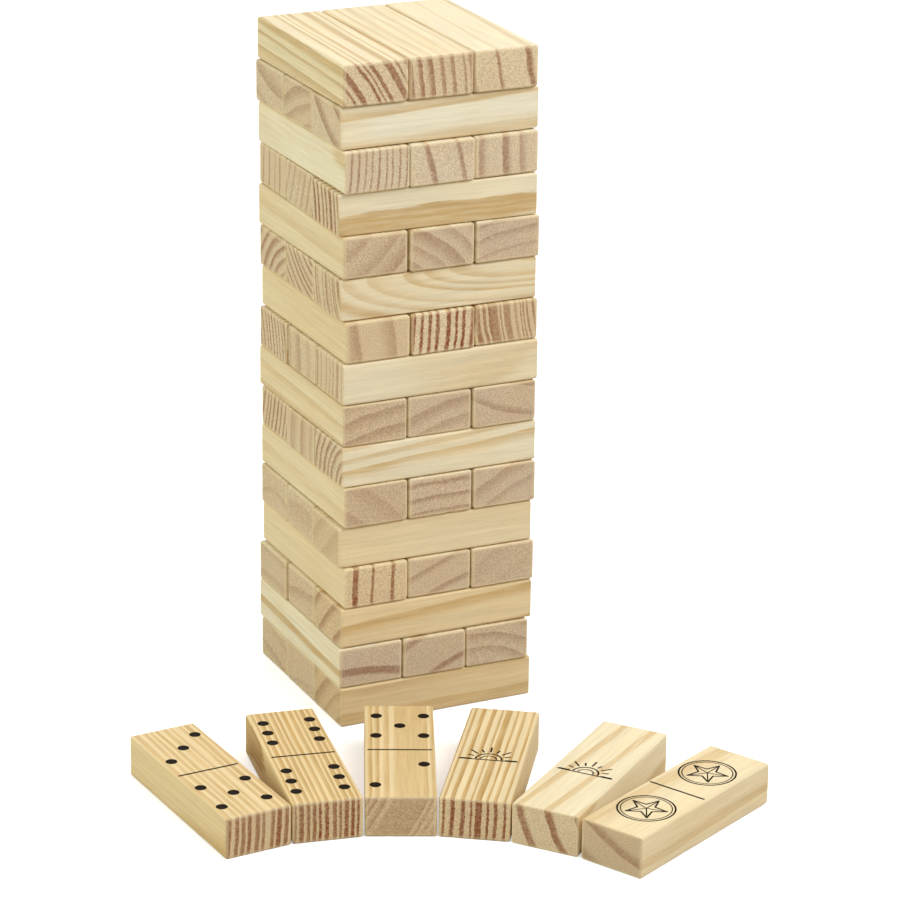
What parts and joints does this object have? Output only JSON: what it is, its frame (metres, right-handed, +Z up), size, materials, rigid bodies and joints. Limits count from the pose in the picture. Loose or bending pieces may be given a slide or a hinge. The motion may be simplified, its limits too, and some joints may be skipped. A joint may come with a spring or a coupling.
{
  "type": "tumbling tower game",
  "caption": "Giant tumbling tower of loose pine blocks stacked crosswise in threes, with more blocks fanned out in front, each free to slide or lift out.",
  "frame": {"origin": "on the ground under the middle of the tower", "axes": "+Z up; the odd tiers run along X and the even tiers along Y; the fanned loose blocks lie on the -Y side, which is the front"},
  "size_m": [0.3824, 0.4499, 0.4863],
  "materials": {
    "pine": "sanded bare softwood",
    "printed_ink": "flat dark ink"
  },
  "bodies": {
    "tier_01_front": {"tier_01_front": "pine"},
    "tier_01_middle": {"tier_01_middle": "pine"},
    "tier_01_back": {"tier_01_back": "pine"},
    "tier_02_left": {"tier_02_left": "pine"},
    "tier_02_middle": {"tier_02_middle": "pine"},
    "tier_02_right": {"tier_02_right": "pine"},
    "tier_03_front": {"tier_03_front": "pine"},
    "tier_03_middle": {"tier_03_middle": "pine"},
    "tier_03_back": {"tier_03_back": "pine"},
    "tier_04_left": {"tier_04_left": "pine"},
    "tier_04_middle": {"tier_04_middle": "pine"},
    "tier_04_right": {"tier_04_right": "pine"},
    "tier_05_front": {"tier_05_front": "pine"},
    "tier_05_middle": {"tier_05_middle": "pine"},
    "tier_05_back": {"tier_05_back": "pine"},
    "tier_06_left": {"tier_06_left": "pine"},
    "tier_06_middle": {"tier_06_middle": "pine"},
    "tier_06_right": {"tier_06_right": "pine"},
    "tier_07_front": {"tier_07_front": "pine"},
    "tier_07_middle": {"tier_07_middle": "pine"},
    "tier_07_back": {"tier_07_back": "pine"},
    "tier_08_left": {"tier_08_left": "pine"},
    "tier_08_middle": {"tier_08_middle": "pine"},
    "tier_08_right": {"tier_08_right": "pine"},
    "tier_09_front": {"tier_09_front": "pine"},
    "tier_09_middle": {"tier_09_middle": "pine"},
    "tier_09_back": {"tier_09_back": "pine"},
    "tier_10_left": {"tier_10_left": "pine"},
    "tier_10_middle": {"tier_10_middle": "pine"},
    "tier_10_right": {"tier_10_right": "pine"},
    "tier_11_front": {"tier_11_front": "pine"},
    "tier_11_middle": {"tier_11_middle": "pine"},
    "tier_11_back": {"tier_11_back": "pine"},
    "tier_12_left": {"tier_12_left": "pine"},
    "tier_12_middle": {"tier_12_middle": "pine"},
    "tier_12_right": {"tier_12_right": "pine"},
    "tier_13_front": {"tier_13_front": "pine"},
    "tier_13_middle": {"tier_13_middle": "pine"},
    "tier_13_back": {"tier_13_back": "pine"},
    "tier_14_left": {"tier_14_left": "pine"},
    "tier_14_middle": {"tier_14_middle": "pine"},
    "tier_14_right": {"tier_14_right": "pine"},
    "tier_15_front": {"tier_15_front": "pine"},
    "tier_15_middle": {"tier_15_middle": "pine"},
    "tier_15_back": {"tier_15_back": "pine"},
    "tier_16_left": {"tier_16_left": "pine"},
    "tier_16_middle": {"tier_16_middle": "pine"},
    "tier_16_right": {"tier_16_right": "pine"},
    "loose_domino_3_5": {"loose_domino_3_5": "pine"},
    "loose_domino_6_6": {"loose_domino_6_6": "pine"},
    "loose_domino_5_2": {"loose_domino_5_2": "pine"},
    "loose_sun_tile_1": {"loose_sun_tile_1": "pine"},
    "loose_sun_tile_2": {"loose_sun_tile_2": "pine"},
    "loose_star_tile": {"loose_star_tile": "pine"}
  },
  "joints": [
    {"name": "tier_01_front_slide", "type": "slide", "parent": "tier_01_middle", "child": "tier_01_front", "axis": [1, 0.0035, 0], "range_m": [-0.155, 0.155]},
    {"name": "tier_01_back_slide", "type": "slide", "parent": "tier_01_middle", "child": "tier_01_back", "axis": [1, 0.0035, 0], "range_m": [-0.155, 0.155]},
    {"name": "tier_02_left_slide", "type": "slide", "parent": "tier_01_middle", "child": "tier_02_left", "axis": [0.007, 1, 0], "range_m": [-0.155, 0.155]},
    {"name": "tier_02_middle_slide", "type": "slide", "parent": "tier_01_middle", "child": "tier_02_middle", "axis": [0.007, 1, 0], "range_m": [-0.155, 0.155]},
    {"name": "tier_02_right_slide", "type": "slide", "parent": "tier_01_middle", "child": "tier_02_right", "axis": [0.007, 1, 0], "range_m": [-0.155, 0.155]},
    {"name": "tier_03_front_slide", "type": "slide", "parent": "tier_01_middle", "child": "tier_03_front", "axis": [1, -0.0017, 0], "range_m": [-0.155, 0.155]},
    {"name": "tier_03_middle_slide", "type": "slide", "parent": "tier_01_middle", "child": "tier_03_middle", "axis": [1, -0.0017, 0], "range_m": [-0.155, 0.155]},
    {"name": "tier_03_back_slide", "type": "slide", "parent": "tier_01_middle", "child": "tier_03_back", "axis": [1, -0.0017, 0], "range_m": [-0.155, 0.155]},
    {"name": "tier_04_left_slide", "type": "slide", "parent": "tier_01_middle", "child": "tier_04_left", "axis": [0, 1, 0], "range_m": [-0.155, 0.155]},
    {"name": "tier_04_middle_slide", "type": "slide", "parent": "tier_01_middle", "child": "tier_04_middle", "axis": [0, 1, 0], "range_m": [-0.155, 0.155]},
    {"name": "tier_04_right_slide", "type": "slide", "parent": "tier_01_middle", "child": "tier_04_right", "axis": [0, 1, 0], "range_m": [-0.155, 0.155]},
    {"name": "tier_05_front_slide", "type": "slide", "parent": "tier_01_middle", "child": "tier_05_front", "axis": [0.9999, -0.0105, 0], "range_m": [-0.155, 0.155]},
    {"name": "tier_05_middle_slide", "type": "slide", "parent": "tier_01_middle", "child": "tier_05_middle", "axis": [0.9999, -0.0105, 0], "range_m": [-0.155, 0.155]},
    {"name": "tier_05_back_slide", "type": "slide", "parent": "tier_01_middle", "child": "tier_05_back", "axis": [0.9999, -0.0105, 0], "range_m": [-0.155, 0.155]},
    {"name": "tier_06_left_slide", "type": "slide", "parent": "tier_01_middle", "child": "tier_06_left", "axis": [-0.0017, 1, 0], "range_m": [-0.155, 0.155]},
    {"name": "tier_06_middle_slide", "type": "slide", "parent": "tier_01_middle", "child": "tier_06_middle", "axis": [-0.0017, 1, 0], "range_m": [-0.155, 0.155]},
    {"name": "tier_06_right_slide", "type": "slide", "parent": "tier_01_middle", "child": "tier_06_right", "axis": [-0.0017, 1, 0], "range_m": [-0.155, 0.155]},
    {"name": "tier_07_front_slide", "type": "slide", "parent": "tier_01_middle", "child": "tier_07_front", "axis": [1, 0.0035, 0], "range_m": [-0.155, 0.155]},
    {"name": "tier_07_middle_slide", "type": "slide", "parent": "tier_01_middle", "child": "tier_07_middle", "axis": [1, 0.0035, 0], "range_m": [-0.155, 0.155]},
    {"name": "tier_07_back_slide", "type": "slide", "parent": "tier_01_middle", "child": "tier_07_back", "axis": [1, 0.0035, 0], "range_m": [-0.155, 0.155]},
    {"name": "tier_08_left_slide", "type": "slide", "parent": "tier_01_middle", "child": "tier_08_left", "axis": [-0.0017, 1, 0], "range_m": [-0.155, 0.155]},
    {"name": "tier_08_middle_slide", "type": "slide", "parent": "tier_01_middle", "child": "tier_08_middle", "axis": [-0.0017, 1, 0], "range_m": [-0.155, 0.155]},
    {"name": "tier_08_right_slide", "type": "slide", "parent": "tier_01_middle", "child": "tier_08_right", "axis": [-0.0017, 1, 0], "range_m": [-0.155, 0.155]},
    {"name": "tier_09_front_slide", "type": "slide", "parent": "tier_01_middle", "child": "tier_09_front", "axis": [1, -0.0017, 0], "range_m": [-0.155, 0.155]},
    {"name": "tier_09_middle_slide", "type": "slide", "parent": "tier_01_middle", "child": "tier_09_middle", "axis": [1, -0.0017, 0], "range_m": [-0.155, 0.155]},
    {"name": "tier_09_back_slide", "type": "slide", "parent": "tier_01_middle", "child": "tier_09_back", "axis": [1, -0.0017, 0], "range_m": [-0.155, 0.155]},
    {"name": "tier_10_left_slide", "type": "slide", "parent": "tier_01_middle", "child": "tier_10_left", "axis": [-0.0052, 1, 0], "range_m": [-0.155, 0.155]},
    {"name": "tier_10_middle_slide", "type": "slide", "parent": "tier_01_middle", "child": "tier_10_middle", "axis": [-0.0052, 1, 0], "range_m": [-0.155, 0.155]},
    {"name": "tier_10_right_slide", "type": "slide", "parent": "tier_01_middle", "child": "tier_10_right", "axis": [-0.0052, 1, 0], "range_m": [-0.155, 0.155]},
    {"name": "tier_11_front_slide", "type": "slide", "parent": "tier_01_middle", "child": "tier_11_front", "axis": [1, -0.0035, 0], "range_m": [-0.155, 0.155]},
    {"name": "tier_11_middle_slide", "type": "slide", "parent": "tier_01_middle", "child": "tier_11_middle", "axis": [1, -0.0035, 0], "range_m": [-0.155, 0.155]},
    {"name": "tier_11_back_slide", "type": "slide", "parent": "tier_01_middle", "child": "tier_11_back", "axis": [1, -0.0035, 0], "range_m": [-0.155, 0.155]},
    {"name": "tier_12_left_slide", "type": "slide", "parent": "tier_01_middle", "child": "tier_12_left", "axis": [-0.0052, 1, 0], "range_m": [-0.155, 0.155]},
    {"name": "tier_12_middle_slide", "type": "slide", "parent": "tier_01_middle", "child": "tier_12_middle", "axis": [-0.0052, 1, 0], "range_m": [-0.155, 0.155]},
    {"name": "tier_12_right_slide", "type": "slide", "parent": "tier_01_middle", "child": "tier_12_right", "axis": [-0.0052, 1, 0], "range_m": [-0.155, 0.155]},
    {"name": "tier_13_front_slide", "type": "slide", "parent": "tier_01_middle", "child": "tier_13_front", "axis": [0.9999, -0.014, 0], "range_m": [-0.155, 0.155]},
    {"name": "tier_13_middle_slide", "type": "slide", "parent": "tier_01_middle", "child": "tier_13_middle", "axis": [0.9999, -0.014, 0], "range_m": [-0.155, 0.155]},
    {"name": "tier_13_back_slide", "type": "slide", "parent": "tier_01_middle", "child": "tier_13_back", "axis": [0.9999, -0.014, 0], "range_m": [-0.155, 0.155]},
    {"name": "tier_14_left_slide", "type": "slide", "parent": "tier_01_middle", "child": "tier_14_left", "axis": [-0.0105, 0.9999, 0], "range_m": [-0.155, 0.155]},
    {"name": "tier_14_middle_slide", "type": "slide", "parent": "tier_01_middle", "child": "tier_14_middle", "axis": [-0.0105, 0.9999, 0], "range_m": [-0.155, 0.155]},
    {"name": "tier_14_right_slide", "type": "slide", "parent": "tier_01_middle", "child": "tier_14_right", "axis": [-0.0105, 0.9999, 0], "range_m": [-0.155, 0.155]},
    {"name": "tier_15_front_slide", "type": "slide", "parent": "tier_01_middle", "child": "tier_15_front", "axis": [0.9999, 0.0105, 0], "range_m": [-0.155, 0.155]},
    {"name": "tier_15_middle_slide", "type": "slide", "parent": "tier_01_middle", "child": "tier_15_middle", "axis": [0.9999, 0.0105, 0], "range_m": [-0.155, 0.155]},
    {"name": "tier_15_back_slide", "type": "slide", "parent": "tier_01_middle", "child": "tier_15_back", "axis": [0.9999, 0.0105, 0], "range_m": [-0.155, 0.155]},
    {"name": "tier_16_left_lift", "type": "slide", "parent": "tier_01_middle", "child": "tier_16_left", "axis": [0, 0, 1], "range_m": [0, 0.1]},
    {"name": "tier_16_middle_lift", "type": "slide", "parent": "tier_01_middle", "child": "tier_16_middle", "axis": [0, 0, 1], "range_m": [0, 0.1]},
    {"name": "tier_16_right_lift", "type": "slide", "parent": "tier_01_middle", "child": "tier_16_right", "axis": [0, 0, 1], "range_m": [0, 0.1]},
    {"name": "loose_domino_3_5_lift", "type": "slide", "parent": "tier_01_middle", "child": "loose_domino_3_5", "axis": [0, 0, 1], "range_m": [0, 0.4867]},
    {"name": "loose_domino_6_6_lift", "type": "slide", "parent": "tier_01_middle", "child": "loose_domino_6_6", "axis": [0, 0, 1], "range_m": [0, 0.4867]},
    {"name": "loose_domino_5_2_lift", "type": "slide", "parent": "tier_01_middle", "child": "loose_domino_5_2", "axis": [0, 0, 1], "range_m": [0, 0.4867]},
    {"name": "loose_sun_tile_1_lift", "type": "slide", "parent": "tier_01_middle", "child": "loose_sun_tile_1", "axis": [0, 0, 1], "range_m": [0, 0.4867]},
    {"name": "loose_sun_tile_2_lift", "type": "slide", "parent": "tier_01_middle", "child": "loose_sun_tile_2", "axis": [0, 0, 1], "range_m": [0, 0.4867]},
    {"name": "loose_star_tile_lift", "type": "slide", "parent": "tier_01_middle", "child": "loose_star_tile", "axis": [0, 0, 1], "range_m": [0, 0.4867]}
  ]
}
